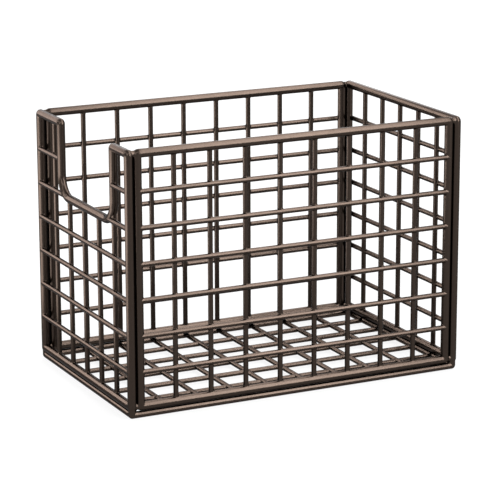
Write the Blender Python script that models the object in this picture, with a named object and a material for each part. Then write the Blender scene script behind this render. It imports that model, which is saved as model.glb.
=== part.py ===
"""Wire storage basket: five framed wire panels standing as an open box.

Every panel is a closed loop of thick wire that carries a mat of thinner wires. The four wall
mats are upright wires on the inner side and level rails pressed into them on the outer side.
The left wall's frame dips in a U, so that a hand can reach in over it. The floor panel lies
under the four walls and is what the basket stands on.

Units are metres, +Z is up, +X runs along the long walls, and the long front wall faces -Y.
"""
import math

import bmesh
import bpy
from mathutils import Matrix

# Spans between the centre lines of a wall frame's wires
SPAN_X = 0.2848
SPAN_Y = 0.1872
SPAN_Z = 0.2080

# Wire stock, each with its coating
FRAME_WIRE = 0.0072
FLOOR_FRAME_WIRE = 0.0057
MAT_WIRE = 0.0043

# What keeps neighbours apart, and the inner radius of a frame's tight bends
GAP = 0.0003
BEND_INSIDE = 0.0005

# Wall mats: wire counts, how far uprights lie inside and rails outside their frame's plane, and
# how much lower the rails sit than an even share of the height
UPRIGHTS_X = 8
UPRIGHTS_Y = 5
RAILS = 6
UPRIGHT_LAYER = 0.0004
RAIL_LAYER = 0.0014
RAIL_DROP = 0.0009

# Floor mat: its first and last cells, and how far its long wires lie below its cross wires, which
# are flush with the top of its frame
FLOOR_END_X = 0.0360
FLOOR_END_Y = 0.0318
FLOOR_LAYER = 0.0005

# The dip in the left wall: its legs, its bottom bends, and the rails that it cuts through, with
# its own place below the last of them
DIP_FRONT_LEG = 0.0300
DIP_BACK_LEG = 0.0464
DIP_BEND = 0.0176
DIP_CUTS = 2
DIP_DROP = 0.0016

# Facets round a frame wire and a mat wire, and steps in a tight bend and in a dip bend
FRAME_SIDES = 12
MAT_SIDES = 8
TIGHT_STEPS = 5
DIP_STEPS = 7

# Satin bronze powder coat
COAT_COLOR = (0.105, 0.078, 0.062)
COAT_METALLIC = 0.55
COAT_ROUGHNESS = 0.42

# Places that follow from the sizes above
TIGHT_BEND = FRAME_WIRE / 2 + BEND_INSIDE
FLOOR_BEND = FLOOR_FRAME_WIRE / 2 + BEND_INSIDE
FLOOR_Z = FLOOR_FRAME_WIRE / 2
WALL_Z = FLOOR_FRAME_WIRE + GAP + (FRAME_WIRE + SPAN_Z) / 2
SIDE_X = SPAN_X / 2 + FRAME_WIRE + GAP
FRONT_Y = SPAN_Y / 2
CROSS_RISE = (FLOOR_FRAME_WIRE - MAT_WIRE) / 2

# How a straight wire is turned in its panel
UPRIGHT = (0, 0, 0)
LEVEL = (0, math.pi / 2, 0)


def new_collection(name):
    """A new collection linked to the scene."""
    made = bpy.data.collections.new(name)
    bpy.context.scene.collection.children.link(made)
    return made


def place(item, group, parent, offset=(0, 0, 0), turn=(0, 0, 0)):
    """Put an object in its collection and hang it on its panel's empty."""
    group.objects.link(item)
    item.parent = parent
    item.location = offset
    item.rotation_euler = turn
    return item


def panel_empty(name, offset, turn):
    """Stand a panel's local frame: X across it, Z up it and -Y out of the basket."""
    empty = bpy.data.objects.new(name, None)
    empty.empty_display_size = SPAN_Z / 10
    return place(empty, basket, None, offset, turn)


def coat(item):
    """Give a piece its own powder coat material."""
    material = bpy.data.materials.new(item.name + "_coat")
    material.use_nodes = True
    shader = material.node_tree.nodes["Principled BSDF"]
    shader.inputs["Base Color"].default_value = (*COAT_COLOR, 1)
    shader.inputs["Metallic"].default_value = COAT_METALLIC
    shader.inputs["Roughness"].default_value = COAT_ROUGHNESS
    item.data.materials.append(material)


def as_cutter(item):
    """Keep an object out of the finished part."""
    item.hide_render = True
    item.display_type = "WIRE"
    return item


def boolean(item, tool, operation):
    """Cut an object by another, or join it with another."""
    modifier = item.modifiers.new(operation.title(), "BOOLEAN")
    modifier.operation = operation
    modifier.solver = "EXACT"
    modifier.object = tool


def spread(count, span, end=None):
    """Centres of wires across a span, evenly or with end cells of their own width."""
    end = span / (count + 1) if end is None else end
    pitch = (span - 2 * end) / (count - 1)
    return [end - span / 2 + index * pitch for index in range(count)]


def rectangle(width, height):
    """The corners of a rectangular frame, from its lower left and round by its lower right."""
    right, top = width / 2, height / 2
    return [(-right, -top), (right, -top), (right, top), (-right, top)]


def bent_path(corners, bends, steps):
    """A closed path in the local XZ plane whose corners are quarter arcs."""
    path = []
    for index, corner in enumerate(corners):
        before = corners[index - 1]
        after = corners[(index + 1) % len(corners)]
        radius = bends[index]
        into = [math.copysign(1, c - b) if abs(c - b) > radius else 0 for b, c in zip(before, corner)]
        out = [math.copysign(1, a - c) if abs(a - c) > radius else 0 for a, c in zip(after, corner)]
        for step in range(steps[index] + 1):
            angle = math.pi / 2 * step / steps[index]
            back = radius * (1 - math.sin(angle))
            ahead = radius * (1 - math.cos(angle))
            path.append(tuple(c - i * back + o * ahead for c, i, o in zip(corner, into, out)))
    return path


def loop_curve(name, path, wire):
    """A closed wire along a path, with a flat facet towards each side of its panel."""
    curve = bpy.data.curves.new(name, "CURVE")
    curve.dimensions = "3D"
    curve.bevel_depth = wire / 2 / math.cos(math.pi / FRAME_SIDES)
    curve.bevel_resolution = FRAME_SIDES // 2 - 2
    curve.use_fill_caps = True
    spline = curve.splines.new("POLY")
    spline.points.add(len(path) - 1)
    for point, (across, up) in zip(spline.points, path):
        point.co = (across, 0, up, 1)
        point.tilt = math.pi / FRAME_SIDES
    spline.use_cyclic_u = True
    spline.use_smooth = True
    return bpy.data.objects.new(name, curve)


def frame_loop(name, path, wire, parent):
    """A panel's frame, and the sleeve of room round it that trims the wires ending on it."""
    coat(place(loop_curve(name, path, wire), basket, parent))
    guide = place(loop_curve(name + "_guide", path, wire + 2 * GAP), cutters, parent)
    bpy.context.view_layer.update()
    depsgraph = bpy.context.evaluated_depsgraph_get()
    mesh = bpy.data.meshes.new_from_object(guide.evaluated_get(depsgraph))
    work = bmesh.new()
    work.from_mesh(mesh)
    bmesh.ops.remove_doubles(work, verts=work.verts, dist=GAP / 100)
    work.to_mesh(mesh)
    work.free()
    sleeve = bpy.data.objects.new(name + "_sleeve", mesh)
    cutters.objects.link(sleeve)
    sleeve.matrix_world = guide.matrix_world
    bpy.data.objects.remove(guide)
    return as_cutter(sleeve)


def rods(name, wire, runs):
    """Straight wires along Z, each run given by its X, its Y, its lower end and its upper end."""
    work = bmesh.new()
    radius = wire / 2 / math.cos(math.pi / MAT_SIDES)
    for across, depth, low, high in runs:
        shift = Matrix.Translation((across, depth, (low + high) / 2))
        turn = Matrix.Rotation(math.pi / MAT_SIDES, 4, "Z")
        bmesh.ops.create_cone(
            work,
            cap_ends=True,
            segments=MAT_SIDES,
            radius1=radius,
            radius2=radius,
            depth=high - low,
            matrix=shift @ turn,
        )
    mesh = bpy.data.meshes.new(name)
    work.to_mesh(mesh)
    work.free()
    mesh.shade_smooth()
    mesh.set_sharp_from_angle(angle=math.radians(50))
    return bpy.data.objects.new(name, mesh)


def uprights(name, runs, parent, sleeve):
    """A wall's upright wires, and the room round them that notches the rails."""
    for number, run in enumerate(runs, 1):
        wire = place(rods(f"{name}_upright_{number}", MAT_WIRE, [run]), basket, parent, turn=UPRIGHT)
        boolean(wire, sleeve, "DIFFERENCE")
        coat(wire)
    room = rods(name + "_upright_sleeves", MAT_WIRE + 2 * GAP, runs)
    return as_cutter(place(room, cutters, parent, turn=UPRIGHT))


def rail(name, level, start, end, parent, trims):
    """A level wire on the outer side of a wall, notched and trimmed by what it meets."""
    run = (-level, -RAIL_LAYER, start, end)
    wire = place(rods(name, MAT_WIRE, [run]), basket, parent, turn=LEVEL)
    for trim in trims:
        boolean(wire, trim, "DIFFERENCE")
    coat(wire)


def rail_levels():
    """Heights of a wall's rails in its local frame, from the top down."""
    return [level - RAIL_DROP for level in reversed(spread(RAILS, SPAN_Z))]


def plain_wall(name, width, count, offset, turn):
    """A wall with a rectangular frame."""
    parent = panel_empty(name + "_wall", offset, turn)
    corners = rectangle(width, SPAN_Z)
    path = bent_path(corners, [TIGHT_BEND] * 4, [TIGHT_STEPS] * 4)
    sleeve = frame_loop(name + "_frame", path, FRAME_WIRE, parent)
    runs = [(across, UPRIGHT_LAYER, -SPAN_Z / 2, SPAN_Z / 2) for across in spread(count, width)]
    room = uprights(name, runs, parent, sleeve)
    for number, level in enumerate(rail_levels(), 1):
        rail(f"{name}_rail_{number}", level, -width / 2, width / 2, parent, [room, sleeve])


def dipped_wall(name, width, count, offset, turn):
    """The low wall: its frame dips between two legs, and its mat gives way to the dip."""
    parent = panel_empty(name + "_wall", offset, turn)
    levels = rail_levels()
    cut_levels = [levels[index] for index in range(DIP_CUTS)]
    back_leg = DIP_BACK_LEG - width / 2
    front_leg = width / 2 - DIP_FRONT_LEG
    dip = min(cut_levels) - DIP_DROP
    top = SPAN_Z / 2

    lower_back, lower_front, upper_front, upper_back = rectangle(width, SPAN_Z)
    corners = [lower_back, lower_front, upper_front, (front_leg, top), (front_leg, dip)]
    corners += [(back_leg, dip), (back_leg, top), upper_back]
    bends = [TIGHT_BEND] * 4 + [DIP_BEND] * 2 + [TIGHT_BEND] * 2
    steps = [TIGHT_STEPS] * 4 + [DIP_STEPS] * 2 + [TIGHT_STEPS] * 2
    sleeve = frame_loop(name + "_frame", bent_path(corners, bends, steps), FRAME_WIRE, parent)

    def bend_inset(clear):
        """How far a dip bend lies from one of its tangents, clear of the other tangent by this."""
        rest = DIP_BEND - min(max(clear, 0), DIP_BEND)
        return DIP_BEND - math.sqrt(DIP_BEND**2 - rest**2)

    def upright_top(across):
        """The frame's centre line above an upright."""
        inward = min(across - back_leg, front_leg - across)
        return top if inward < -FRAME_WIRE / 2 else dip + bend_inset(inward)

    runs = [(across, UPRIGHT_LAYER, -top, upright_top(across)) for across in spread(count, width)]
    room = uprights(name, runs, parent, sleeve)
    for number, level in enumerate(levels, 1):
        rail_name = f"{name}_rail_{number}"
        if level in cut_levels:
            inset = bend_inset(level - dip)
            rail(rail_name + "_back", level, -width / 2, back_leg + inset, parent, [room, sleeve])
            rail(rail_name + "_front", level, front_leg - inset, width / 2, parent, [room, sleeve])
        else:
            rail(rail_name, level, -width / 2, width / 2, parent, [room, sleeve])


def floor_panel():
    """The floor: a thinner frame with one welded mat of cross wires and long wires."""
    width = 2 * SIDE_X
    parent = panel_empty("floor_panel", (0, 0, FLOOR_Z), (math.pi / 2, 0, 0))
    path = bent_path(rectangle(width, SPAN_Y), [FLOOR_BEND] * 4, [TIGHT_STEPS] * 4)
    sleeve = frame_loop("floor_frame", path, FLOOR_FRAME_WIRE, parent)
    cross_places = spread(UPRIGHTS_X, width, FLOOR_END_X)
    long_places = spread(UPRIGHTS_Y, SPAN_Y, FLOOR_END_Y)
    cross_runs = [(across, CROSS_RISE, -SPAN_Y / 2, SPAN_Y / 2) for across in cross_places]
    long_runs = [(across, CROSS_RISE - FLOOR_LAYER, -width / 2, width / 2) for across in long_places]
    mat = place(rods("floor_mat", MAT_WIRE, cross_runs), basket, parent, turn=UPRIGHT)
    long_wires = place(rods("floor_long_wires", MAT_WIRE, long_runs), cutters, parent, turn=LEVEL)
    boolean(mat, as_cutter(long_wires), "UNION")
    boolean(mat, sleeve, "DIFFERENCE")
    coat(mat)


for old in list(bpy.data.objects):
    bpy.data.objects.remove(old)

basket = new_collection("wire_basket")
cutters = new_collection("cutters")

floor_panel()
plain_wall("front", SPAN_X, UPRIGHTS_X, (0, -FRONT_Y, WALL_Z), (0, 0, 0))
plain_wall("back", SPAN_X, UPRIGHTS_X, (0, FRONT_Y, WALL_Z), (0, 0, math.pi))
plain_wall("right", SPAN_Y, UPRIGHTS_Y, (SIDE_X, 0, WALL_Z), (0, 0, math.pi / 2))
dipped_wall("left", SPAN_Y, UPRIGHTS_Y, (-SIDE_X, 0, WALL_Z), (0, 0, -math.pi / 2))
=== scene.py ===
"""Looks of the wire storage basket: round wires, weld fillets, bronze powder coat, white studio.

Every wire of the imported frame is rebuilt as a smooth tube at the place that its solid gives.
Where two wires touch, both surfaces rise into one soft fillet, as a welded and coated joint does.
All lengths are in metres, in the frame's own axes.
"""
import math
from collections import namedtuple

import bmesh
import bpy
import numpy as np
from mathutils import Matrix, Vector


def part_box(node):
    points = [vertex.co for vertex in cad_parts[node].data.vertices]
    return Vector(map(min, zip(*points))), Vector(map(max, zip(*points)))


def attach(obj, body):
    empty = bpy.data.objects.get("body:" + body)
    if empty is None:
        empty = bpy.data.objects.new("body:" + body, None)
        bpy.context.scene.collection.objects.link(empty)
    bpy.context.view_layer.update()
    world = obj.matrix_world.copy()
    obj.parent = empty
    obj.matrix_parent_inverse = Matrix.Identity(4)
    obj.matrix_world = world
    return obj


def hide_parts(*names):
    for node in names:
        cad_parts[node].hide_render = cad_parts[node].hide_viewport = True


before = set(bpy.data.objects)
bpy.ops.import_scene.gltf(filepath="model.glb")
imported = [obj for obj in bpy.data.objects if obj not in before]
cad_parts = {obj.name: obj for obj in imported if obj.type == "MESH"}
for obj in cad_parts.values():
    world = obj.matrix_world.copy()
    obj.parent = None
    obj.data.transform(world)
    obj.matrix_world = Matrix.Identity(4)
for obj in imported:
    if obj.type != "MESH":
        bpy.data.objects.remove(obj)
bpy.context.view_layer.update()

# How far the mat wires reach past their solids' ends into the frames, on the walls and the floor
END_REACH = 0.0015
FLOOR_END_REACH = 0.0012

# Bends of the wall frames' middle line at the top, and of all frames' middle line at the foot
TOP_BEND = 0.0012
FOOT_BEND = 0.0002

# The dip in the left wall: its two legs, its lower bends, and how far it is below the second rail
DIP_FRONT_LEG = 0.0300
DIP_BACK_LEG = 0.0464
DIP_BEND = 0.0176
DIP_DROP = 0.0016

# The mats: the wire's diameter, and on the floor the counts of wires, the first and last cells,
# and how much lower the long wires lie
MAT_WIRE = 0.0043
CROSS_WIRES = 8
LONG_WIRES = 5
FLOOR_END_X = 0.0360
FLOOR_END_Y = 0.0318
FLOOR_LAYER = 0.0005

# Tube meshes: facets round a frame and round a mat wire, steps in a bend, spacing of rings near
# a weld, points that count as one, and the angle in degrees from which an edge is sharp
FRAME_SIDES = 32
MAT_SIDES = 24
BEND_STEPS = 16
RING_STEP = 0.0004
SAME_POINT = 1e-7
CREASE = 50

# Weld fillets: their width, the halvings that find their surface, and the least length to divide by
FILLET = 0.0009
HALVINGS = 8
LEAST_LENGTH = 1e-9

# Beads of weld at the corners: their radius between two walls and down to the floor frame, their
# fillet, and how near two frames' corners are that a bead joins
BEAD_RADIUS = 0.0026
FLOOR_BEAD_RADIUS = 0.0030
BEAD_FILLET = 0.0022
BEAD_REACH = 0.012

# Powder coat: two browns of its grain, its range of roughness, how little it shines at grazing
# angles, and the scales of its grain, its clouds of gloss and its orange peel
COAT_DARK = (0.030, 0.0222, 0.0180)
COAT_LIGHT = (0.044, 0.0326, 0.0264)
COAT_ROUGHNESS = (0.21, 0.25)
COAT_GRAZING = (0.460, 0.468, 0.476)
GRAIN_SCALE = 2600
CLOUD_SCALE = 60
PEEL_SCALE = 1400
PEEL_DEPTH = 0.00002
PEEL_STRENGTH = 0.25

# Noise: its detail, and the part of its range that is brought to a full range
NOISE_DETAIL = 3
NOISE_RANGE = (0.3, 0.7)

# Sockets of Blender's Mix node that hold colours: the first, the second and the mixed one
MIX_FIRST = 6
MIX_SECOND = 7
MIX_RESULT = 2

# Studio: the light from all round, the floor's side, how far it lies under the basket, its colour,
# its glow near the basket and far from it, and the distances between which that glow changes
WORLD_LIGHT = 0.05
FLOOR_SIZE = 12.0
FLOOR_DROP = 0.0002
FLOOR_COLOR = (0.10, 0.10, 0.10)
FLOOR_GLOW = (0.86, 1.0)
GLOW_REACH = (0.3, 1.5)

# Strips of the weaker arches, radiance from angle to angle: whole ones about X, and ones about Y
# that are split where the wires along X would mirror them in the photograph's view
WHOLE_STRIPS = {(15, 65): 4.5, (65, 115): 4.5, (115, 165): 4.5}
SPLIT_STRIPS = {(15, 60): 4.5, (60, 105): 4.5, (145, 165): 4.5}

# Arches of strip lights: two for the gloss of the wires along X and of the left wall in the
# photograph's view, and four weaker ones for the gloss seen from other sides. Each has its middle,
# distance from it, axis, share of the distance that lies along the axis, width, and strips
BASKET_MIDDLE = (0, 0, 0.11)
ARCH_DISTANCE = 3.0
Arch = namedtuple("Arch", "target distance axis share width strips")
ARCHES = {
    "over": Arch(
        BASKET_MIDDLE, ARCH_DISTANCE, (1, 0, 0), 0.43, 0.7,
        {(16, 56): 6, (56, 96): 9.5, (96, 136): 13, (136, 178): 15},
    ),
    "left": Arch((-0.15, 0, 0.11), 0.8, (0, 1, 0), 0.896, 0.22, {(0, 35): 15, (35, 70): 13}),
    "x_right": Arch(BASKET_MIDDLE, ARCH_DISTANCE, (1, 0, 0), 0.70, 0.5, WHOLE_STRIPS),
    "x_left": Arch(BASKET_MIDDLE, ARCH_DISTANCE, (1, 0, 0), -0.70, 0.5, WHOLE_STRIPS),
    "y_back": Arch(BASKET_MIDDLE, ARCH_DISTANCE, (0, 1, 0), 0.66, 0.5, SPLIT_STRIPS),
    "y_front": Arch(BASKET_MIDDLE, ARCH_DISTANCE, (0, 1, 0), -0.66, 0.5, SPLIT_STRIPS),
}

# Cards of light for the uprights and the top wires along Y: two ends, width, facing, radiance
CARDS = {
    "near_left_card": ((-0.30, 0.06, 0.004), (-0.60, 0.14, 0.004), 0.38, (0, 0, 1), 6.0),
    "far_left_card": ((-0.60, 0.10, 0.004), (-1.35, 0.30, 0.004), 1.0, (0, 0, 1), 9.0),
    "back_card": ((-0.35, 0.8, 0.58), (0.55, 0.8, 0.58), 0.16, (0, -0.9, -0.45), 13.0),
}

# Camera, found by matching the wires' corners with the photograph: its place, its turns in
# degrees, and its lens and sensor in millimetres
CAMERA_PLACE = (-0.8578, -1.73439, 0.60109)
CAMERA_AZIMUTH = -26.391
CAMERA_ELEVATION = 14.484
CAMERA_ROLL = -0.132
CAMERA_LENS = 167.895
CAMERA_SENSOR = 36

# One ring of a tube: its centre, the way of the wire, the way to the inside of a bend and the
# bend's radius, and the corner and slant of the mitre plane, which stops a tight bend's inside
Ring = namedtuple("Ring", "centre along inward bend corner slant")


def unit(vector):
    """The vector at length one."""
    return vector / np.linalg.norm(vector)


def straight_ring(centre, along):
    """A ring of a straight stretch, where nothing is bent."""
    return Ring(centre, along, np.zeros(3), math.inf, centre, np.zeros(3))


def bend_rings(corner, into, out, bend):
    """The rings round a quarter bend of the middle line, from its way in to its way out."""
    made = []
    for step in range(BEND_STEPS + 1):
        angle = math.pi / 2 * step / BEND_STEPS
        sine, cosine = math.sin(angle), math.cos(angle)
        centre = corner + bend * ((1 - cosine) * out - (1 - sine) * into)
        along, inward = sine * out + cosine * into, cosine * out - sine * into
        made.append(Ring(centre, along, inward, bend, corner, out - into))
    return made


class Wire:
    """One round wire: its name, corners, bends, radius, and the CAD node that it stands for."""

    def __init__(self, name, corners, radius, sides, bends=None, node=None, fillet=FILLET):
        self.name, self.node, self.fillet = name, node or name, fillet
        self.corners = np.array([tuple(corner) for corner in corners])
        self.radius, self.sides, self.bends = radius, sides, bends
        self.closed = bends is not None
        self.turns = [self.turn(index) for index in range(len(bends))] if self.closed else []
        self.path = np.array([ring.centre for turn in self.turns for ring in turn] or self.corners)

    def turn(self, index):
        """The rings of one of its bends."""
        corner, after = self.corners[index], self.corners[(index + 1) % len(self.corners)]
        into, out = unit(corner - self.corners[index - 1]), unit(after - corner)
        return bend_rings(corner, into, out, self.bends[index])

    def core(self):
        """Its stretches, open ends drawn in so that a ball of its radius ends where it does."""
        starts, ends = self.path, np.roll(self.path, -1, axis=0)
        if self.closed:
            return starts, ends
        inset = unit(ends[0] - starts[0]) * self.radius
        return starts[:1] + inset, ends[:1] - inset

    def rings(self, neighbours):
        """Its rings: all those of its bends, and on straight stretches those beside a weld."""
        if not self.closed:
            start, end = self.corners
            along = unit(end - start)
            between = self.beside_welds(start, end, neighbours)
            return [straight_ring(place, along) for place in (start, *between, end)]
        made = []
        for index, turn in enumerate(self.turns):
            after = (index + 1) % len(self.turns)
            along = unit(self.corners[after] - self.corners[index])
            start = self.corners[index] + along * max(self.bends[index], self.radius)
            end = self.corners[after] - along * max(self.bends[after], self.radius)
            between = self.beside_welds(start, end, neighbours)
            made += turn + [straight_ring(place, along) for place in between]
        return made

    def beside_welds(self, start, end, neighbours):
        """Places on one straight stretch that are close enough to a neighbour to share a fillet."""
        steps = max(2, round(np.linalg.norm(end - start) / RING_STEP))
        places = start + np.arange(1, steps)[:, None] / steps * (end - start)
        gap, _, fillet = clearance(places, neighbours)
        return places[gap < self.radius + np.maximum(fillet, self.fillet) + RING_STEP]


def clearance(places, neighbours):
    """How far places lie outside the nearest neighbour, which way it faces, and its fillet."""
    nearest, fillet = np.full(len(places), np.inf), np.zeros(len(places))
    facing = np.zeros((len(places), 3))
    for wire in neighbours:
        for start, end in zip(*wire.core()):
            along = end - start
            share = np.clip((places - start) @ along / (along @ along), 0, 1)
            away = places - start - share[:, None] * along
            length = np.linalg.norm(away, axis=1)
            closer = length - wire.radius < nearest
            nearest[closer] = length[closer] - wire.radius
            facing[closer] = away[closer] / np.maximum(length[closer], LEAST_LENGTH)[:, None]
            fillet[closer] = wire.fillet
    return nearest, facing, fillet


def raised(places, outward, own_fillet, neighbours):
    """Surface points lifted into the fillets that join a wire with its neighbours.

    A fillet is as wide as the corner between the two surfaces is sharp, so flush wires stay flush,
    and it rises by a quarter of its width at most.
    """
    gap, facing, fillet = clearance(places, neighbours)
    sharp = 1 - np.clip((outward * facing).sum(axis=1), 0, 1)
    width = np.maximum(fillet, own_fillet) * sharp
    beside = (gap < width) & (width > 0)
    base, way, width = places[beside], outward[beside], width[beside]
    low, high = np.zeros(len(base)), width / 4
    for _ in range(HALVINGS):
        middle = (low + high) / 2
        gap = clearance(base + way * middle[:, None], neighbours)[0]
        blend = np.maximum(width - np.abs(middle - gap), 0) ** 2 / (4 * width)
        inside = np.minimum(middle, gap) < blend
        low, high = np.where(inside, middle, low), np.where(inside, high, middle)
    lifted = places.copy()
    lifted[beside] = base + way * low[:, None]
    return lifted


def surface(wire, rings):
    """The points round each ring, and the way each one faces.

    On the inside of a bend that is tighter than the wire is thick, they stop at the mitre plane.
    """
    centre, along, inward, bend, corner, slant = (np.array(values) for values in zip(*rings))
    extent = wire.path.max(axis=0) - wire.path.min(axis=0)
    level = np.eye(3)[np.argmin(extent)]
    across = np.cross(level, along)[:, None, :]
    turns = 2 * math.pi * np.arange(wire.sides)[None, :, None] / wire.sides
    outward = np.cos(turns) * level + np.sin(turns) * across
    places = centre[:, None, :] + wire.radius * outward
    depth = wire.radius * (outward * inward[:, None, :]).sum(axis=2)
    height = wire.radius * np.cos(turns) * level
    mitre = corner[:, None, :] + depth[:, :, None] * slant[:, None, :] + height
    places = np.where((depth > bend[:, None])[:, :, None], mitre, places)
    return places.reshape(-1, 3), outward.reshape(-1, 3)


def tube(wire, neighbours):
    """The wire as a smooth closed mesh of rings, with its weld fillets."""
    rings = wire.rings(neighbours)
    count = len(rings)
    places, outward = surface(wire, rings)
    places = raised(places, outward, wire.fillet, neighbours)
    ring, side = np.meshgrid(np.arange(count if wire.closed else count - 1), np.arange(wire.sides))
    ring, side = ring.ravel() * wire.sides, side.ravel()
    next_ring, next_side = (ring + wire.sides) % (count * wire.sides), (side + 1) % wire.sides
    corners = (ring + side, ring + next_side, next_ring + next_side, next_ring + side)
    faces = np.stack(corners, axis=1).tolist()
    if not wire.closed:
        faces.append(list(range(wire.sides))[::-1])
        faces.append([(count - 1) * wire.sides + side for side in range(wire.sides)])
    mesh = bpy.data.meshes.new(wire.name)
    mesh.from_pydata(places.tolist(), [], faces)
    joined = bmesh.new()
    joined.from_mesh(mesh)
    bmesh.ops.remove_doubles(joined, verts=joined.verts, dist=SAME_POINT)
    joined.to_mesh(mesh)
    joined.free()
    mesh.shade_smooth()
    mesh.set_sharp_from_angle(angle=math.radians(CREASE))
    return mesh


def straight_wire(name, along, reach):
    """A mat wire on the middle line of its CAD node's box, reaching into what holds its ends."""
    low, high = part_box(name)
    middle = (low + high) / 2
    start, end = middle.copy(), middle.copy()
    start[along], end[along] = low[along] - reach, high[along] + reach
    return Wire(name, [start, end], MAT_WIRE / 2, MAT_SIDES)


def rectangle(low, high):
    """The four corners of a rectangle in its plane, given its lowest and its highest one."""
    return [(low[0], low[1]), (high[0], low[1]), (high[0], high[1]), (low[0], high[1])]


def dipped(outline):
    """The left wall's outline with the dip between its two legs, and the bends of both."""
    (front, bottom), (back, _), (_, top), _ = outline
    rail_low, rail_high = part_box("left_rail_2_back")
    dip = (rail_low.z + rail_high.z) / 2 - DIP_DROP
    front_leg, back_leg = front + DIP_FRONT_LEG, back - DIP_BACK_LEG
    corners = [(front, bottom), (back, bottom), (back, top), (back_leg, top), (back_leg, dip)]
    corners += [(front_leg, dip), (front_leg, top), (front, top)]
    return corners, [FOOT_BEND] * 2 + [TOP_BEND] * 2 + [DIP_BEND] * 2 + [TOP_BEND] * 2


def wall(name, across):
    """Every wire of a wall that runs along one level axis: its frame first, then its mat."""
    low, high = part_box(name + "_frame")
    depth = 1 - across
    radius = (high[depth] - low[depth]) / 2
    plane = (low[depth] + high[depth]) / 2
    outline = rectangle(
        (low[across] + radius, low[2] + radius), (high[across] - radius, high[2] - radius)
    )
    bends = [FOOT_BEND] * 2 + [TOP_BEND] * 2
    if name == "left":
        outline, bends = dipped(outline)
    corners = []
    for side, height in outline:
        corner = [0.0, 0.0, height]
        corner[across], corner[depth] = side, plane
        corners.append(corner)
    wires = [Wire(name + "_frame", corners, radius, FRAME_SIDES, bends)]
    for node in sorted(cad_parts):
        if node.startswith(name + "_upright"):
            wires.append(straight_wire(node, 2, END_REACH))
        elif node.startswith(name + "_rail"):
            wires.append(straight_wire(node, across, END_REACH))
    return wires


def spaced(count, low, high, end):
    """Middle lines of wires between two frame wires, the first and last an end cell from them."""
    pitch = (high - low - 2 * end) / (count - 1)
    return [low + end + index * pitch for index in range(count)]


def floor_wires():
    """The floor frame and the wires of its mat."""
    low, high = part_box("floor_frame")
    radius = (high.z - low.z) / 2
    room = Vector((radius,) * 3)
    inner_low, inner_high = low + room, high - room
    corners = [(x, y, inner_low.z) for x, y in rectangle(inner_low, inner_high)]
    wires = [Wire("floor_frame", corners, radius, FRAME_SIDES, [FOOT_BEND] * 4)]
    reach = Vector((FLOOR_END_REACH,) * 3)
    mat_low, mat_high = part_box("floor_mat")
    start, end = mat_low - reach, mat_high + reach
    height = high.z - MAT_WIRE / 2
    runs = {}
    for number, x in enumerate(spaced(CROSS_WIRES, inner_low.x, inner_high.x, FLOOR_END_X), 1):
        runs[f"floor_cross_wire_{number}"] = [(x, start.y, height), (x, end.y, height)]
    height -= FLOOR_LAYER
    for number, y in enumerate(spaced(LONG_WIRES, inner_low.y, inner_high.y, FLOOR_END_Y), 1):
        runs[f"floor_long_wire_{number}"] = [(start.x, y, height), (end.x, y, height)]
    for name, run in runs.items():
        wires.append(Wire(name, run, MAT_WIRE / 2, MAT_SIDES, node="floor_mat"))
    return wires


def bead(name, start, end, radius=BEAD_RADIUS):
    """One bead of weld from one middle line to another."""
    return Wire(name, [start, end], radius, MAT_SIDES, fillet=BEAD_FILLET)


def beads(name, wall_frame, side_frame, floor_frame):
    """The beads at one upright corner: between the walls, and from the side wall to the floor."""
    made = []
    for start in wall_frame.corners:
        for end in side_frame.corners:
            if np.linalg.norm(end - start) > BEAD_REACH:
                continue
            feet = [foot for foot in floor_frame.corners if np.linalg.norm(foot - end) < BEAD_REACH]
            made.append(bead(name + ("_bottom_bead" if feet else "_top_bead"), start, end))
            made += [bead(name + "_floor_bead", end, foot, FLOOR_BEAD_RADIUS) for foot in feet]
    return made


def boxes_meet(wire, other):
    """Whether two wires come close enough to share a fillet."""
    room = wire.radius + other.radius + max(wire.fillet, other.fillet)
    low, high = wire.path.min(axis=0) - room, wire.path.max(axis=0) + room
    return bool(np.all(other.path.max(axis=0) > low) and np.all(other.path.min(axis=0) < high))


def build(wire, welded, coats):
    """Make a wire's piece with its welds to others, and let it stand for its CAD node if any."""
    neighbours = [other for other in welded if other is not wire and boxes_meet(wire, other)]
    slot = "frame_wire_coat" if wire.radius > MAT_WIRE / 2 else "mat_wire_coat"
    name = wire.name + "_wire" if wire.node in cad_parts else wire.name
    piece = bpy.data.objects.new(name, tube(wire, neighbours))
    bpy.context.scene.collection.objects.link(piece)
    piece.data.materials.append(coats[slot])
    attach(piece, "root")
    if wire.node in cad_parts:
        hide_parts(wire.node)


def node(tree, kind, **values):
    """A new shader node with its settings and inputs given by name."""
    made = tree.nodes.new("ShaderNode" + kind)
    for key, value in values.items():
        if key in made.inputs:
            made.inputs[key].default_value = value
        else:
            setattr(made, key, value)
    return made


def spread(tree, source, low, high, start, end):
    """A value brought from one range to another."""
    made = node(tree, "MapRange")
    for key, value in (("From Min", low), ("From Max", high), ("To Min", start), ("To Max", end)):
        made.inputs[key].default_value = value
    tree.links.new(source, made.inputs["Value"])
    return made.outputs["Result"]


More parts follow.
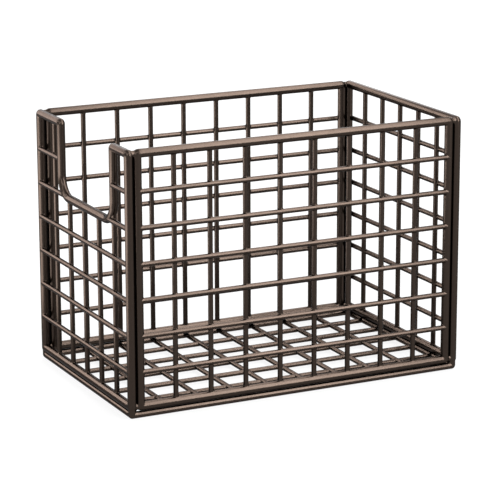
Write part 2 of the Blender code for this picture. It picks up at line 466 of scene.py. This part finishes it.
def powder_coat(name):
    """Satin bronze powder coat: a dark brown film with pigment grain and a faint orange peel."""
    material = bpy.data.materials.new(name)
    material.use_nodes = True
    tree = material.node_tree
    shader = tree.nodes["Principled BSDF"]
    place = node(tree, "TexCoord").outputs["Object"]

    def noise(scale):
        """Noise in the object's own space, as many cells to the metre as its scale."""
        made = node(tree, "TexNoise", Scale=scale, Detail=NOISE_DETAIL)
        tree.links.new(place, made.inputs["Vector"])
        return made.outputs["Fac"]

    tint = node(tree, "Mix", data_type="RGBA", blend_type="MIX")
    tint.inputs[MIX_FIRST].default_value = (*COAT_DARK, 1)
    tint.inputs[MIX_SECOND].default_value = (*COAT_LIGHT, 1)
    tree.links.new(spread(tree, noise(GRAIN_SCALE), *NOISE_RANGE, 0, 1), tint.inputs["Factor"])
    tree.links.new(tint.outputs[MIX_RESULT], shader.inputs["Base Color"])
    cloud = spread(tree, noise(CLOUD_SCALE), *NOISE_RANGE, *COAT_ROUGHNESS)
    tree.links.new(cloud, shader.inputs["Roughness"])
    shader.inputs["Metallic"].default_value = 1
    shader.inputs["Specular Tint"].default_value = (*COAT_GRAZING, 1)
    bump = node(tree, "Bump", Strength=PEEL_STRENGTH, Distance=PEEL_DEPTH)
    tree.links.new(noise(PEEL_SCALE), bump.inputs["Height"])
    tree.links.new(bump.outputs["Normal"], shader.inputs["Normal"])
    return material


def seen_white(tree):
    """One for a ray that looks at the background, directly or by way of gloss or glass."""
    path = node(tree, "LightPath")
    total = path.outputs["Is Camera Ray"]
    for name in ("Is Glossy Ray", "Is Transmission Ray"):
        add = node(tree, "Math", operation="ADD", use_clamp=True)
        tree.links.new(total, add.inputs[0])
        tree.links.new(path.outputs[name], add.inputs[1])
        total = add.outputs[0]
    return total


def white_world():
    """A plain studio: white to look at, and a soft grey light on the object."""
    world = bpy.data.worlds.new("studio")
    bpy.context.scene.world = world
    world.use_nodes = True
    tree = world.node_tree
    background = tree.nodes["Background"]
    background.inputs["Color"].default_value = (1, 1, 1, 1)
    strength = spread(tree, seen_white(tree), 0, 1, WORLD_LIGHT, 1)
    tree.links.new(strength, background.inputs["Strength"])


def studio_floor():
    """A pale floor that the basket stands on and that keeps its soft shadow."""
    side = FLOOR_SIZE / 2
    corners = [(x, y, -FLOOR_DROP) for x, y in rectangle((-side, -side), (side, side))]
    mesh = bpy.data.meshes.new("studio_floor")
    mesh.from_pydata(corners, [], [(0, 1, 2, 3)])
    floor = bpy.data.objects.new("studio_floor", mesh)
    bpy.context.scene.collection.objects.link(floor)
    material = bpy.data.materials.new("studio_floor")
    material.use_nodes = True
    tree = material.node_tree
    tree.nodes.remove(tree.nodes["Principled BSDF"])
    away = node(tree, "VectorMath", operation="LENGTH")
    tree.links.new(node(tree, "TexCoord").outputs["Object"], away.inputs[0])
    matte = node(tree, "BsdfDiffuse", Color=(*FLOOR_COLOR, 1))
    glow = node(tree, "Emission")
    strength = spread(tree, away.outputs["Value"], *GLOW_REACH, *FLOOR_GLOW)
    tree.links.new(strength, glow.inputs["Strength"])
    both = node(tree, "AddShader")
    pick = node(tree, "MixShader")
    tree.links.new(matte.outputs[0], both.inputs[0])
    tree.links.new(glow.outputs[0], both.inputs[1])
    tree.links.new(seen_white(tree), pick.inputs[0])
    tree.links.new(matte.outputs[0], pick.inputs[1])
    tree.links.new(both.outputs[0], pick.inputs[2])
    tree.links.new(pick.outputs[0], tree.nodes["Material Output"].inputs["Surface"])
    mesh.materials.append(material)


def soft_box(name, place, along, back, size, radiance):
    """A rectangular lamp that the camera doesn't see, given the ways of its length and its back."""
    light = bpy.data.lights.new(name, "AREA")
    light.shape = "RECTANGLE"
    light.size, light.size_y = size
    light.energy = radiance * math.pi * size[0] * size[1]
    lamp = bpy.data.objects.new(name, light)
    bpy.context.scene.collection.objects.link(lamp)
    turn = Matrix((along.cross(back), along, back)).transposed()
    lamp.matrix_world = Matrix.Translation(place) @ turn.to_4x4()
    lamp.visible_camera = False


def studio_lights():
    """The arches, whose strips lie on a cone about their axis, and the cards."""
    up = Vector((0, 0, 1))
    for name, arch in ARCHES.items():
        axis = Vector(arch.axis)
        level = up.cross(axis)
        radius = arch.distance * math.sqrt(1 - arch.share**2)
        for number, ((first, last), radiance) in enumerate(arch.strips.items(), 1):
            middle, half = math.radians((first + last) / 2), math.radians((last - first) / 2)
            around = level * math.cos(middle) + up * math.sin(middle)
            along = up * math.cos(middle) - level * math.sin(middle)
            away = axis * arch.share * arch.distance + around * radius
            size = (arch.width, 2 * radius * math.tan(half))
            place = Vector(arch.target) + away
            soft_box(f"{name}_{number}", place, along, away.normalized(), size, radiance)
    for name, (start, end, width, facing, radiance) in CARDS.items():
        start, run, back = Vector(start), Vector(end) - Vector(start), -Vector(facing).normalized()
        soft_box(name, start + run / 2, run.normalized(), back, (width, run.length), radiance)


def camera():
    """The photograph's view."""
    data = bpy.data.cameras.new("camera")
    data.lens = CAMERA_LENS
    data.sensor_width = CAMERA_SENSOR
    made = bpy.data.objects.new("camera", data)
    bpy.context.scene.collection.objects.link(made)
    turn = Matrix.Rotation(math.radians(CAMERA_AZIMUTH), 4, "Z")
    turn = turn @ Matrix.Rotation(math.radians(90 - CAMERA_ELEVATION), 4, "X")
    turn = turn @ Matrix.Rotation(math.radians(CAMERA_ROLL), 4, "Z")
    made.matrix_world = Matrix.Translation(CAMERA_PLACE) @ turn
    bpy.context.scene.camera = made


def basket():
    """The five panels, and the beads of weld that join their frames at the four upright corners."""
    coats = {slot: powder_coat(slot) for slot in ("frame_wire_coat", "mat_wire_coat")}
    panels = {name: wall(name, 0) for name in ("front", "back")}
    panels.update({name: wall(name, 1) for name in ("left", "right")})
    panels["floor"] = floor_wires()
    frames = {name: panel[0] for name, panel in panels.items()}
    corner_beads = []
    for side in ("front", "back"):
        for end in ("left", "right"):
            corner_beads += beads(f"{side}_{end}", frames[side], frames[end], frames["floor"])
    for panel in panels.values():
        for wire in panel:
            build(wire, panel + corner_beads if wire is panel[0] else panel, coats)
    for wire in corner_beads:
        build(wire, [*frames.values(), *corner_beads], coats)


basket()
white_world()
studio_floor()
studio_lights()
camera()
bpy.context.scene.view_settings.view_transform = "Standard"
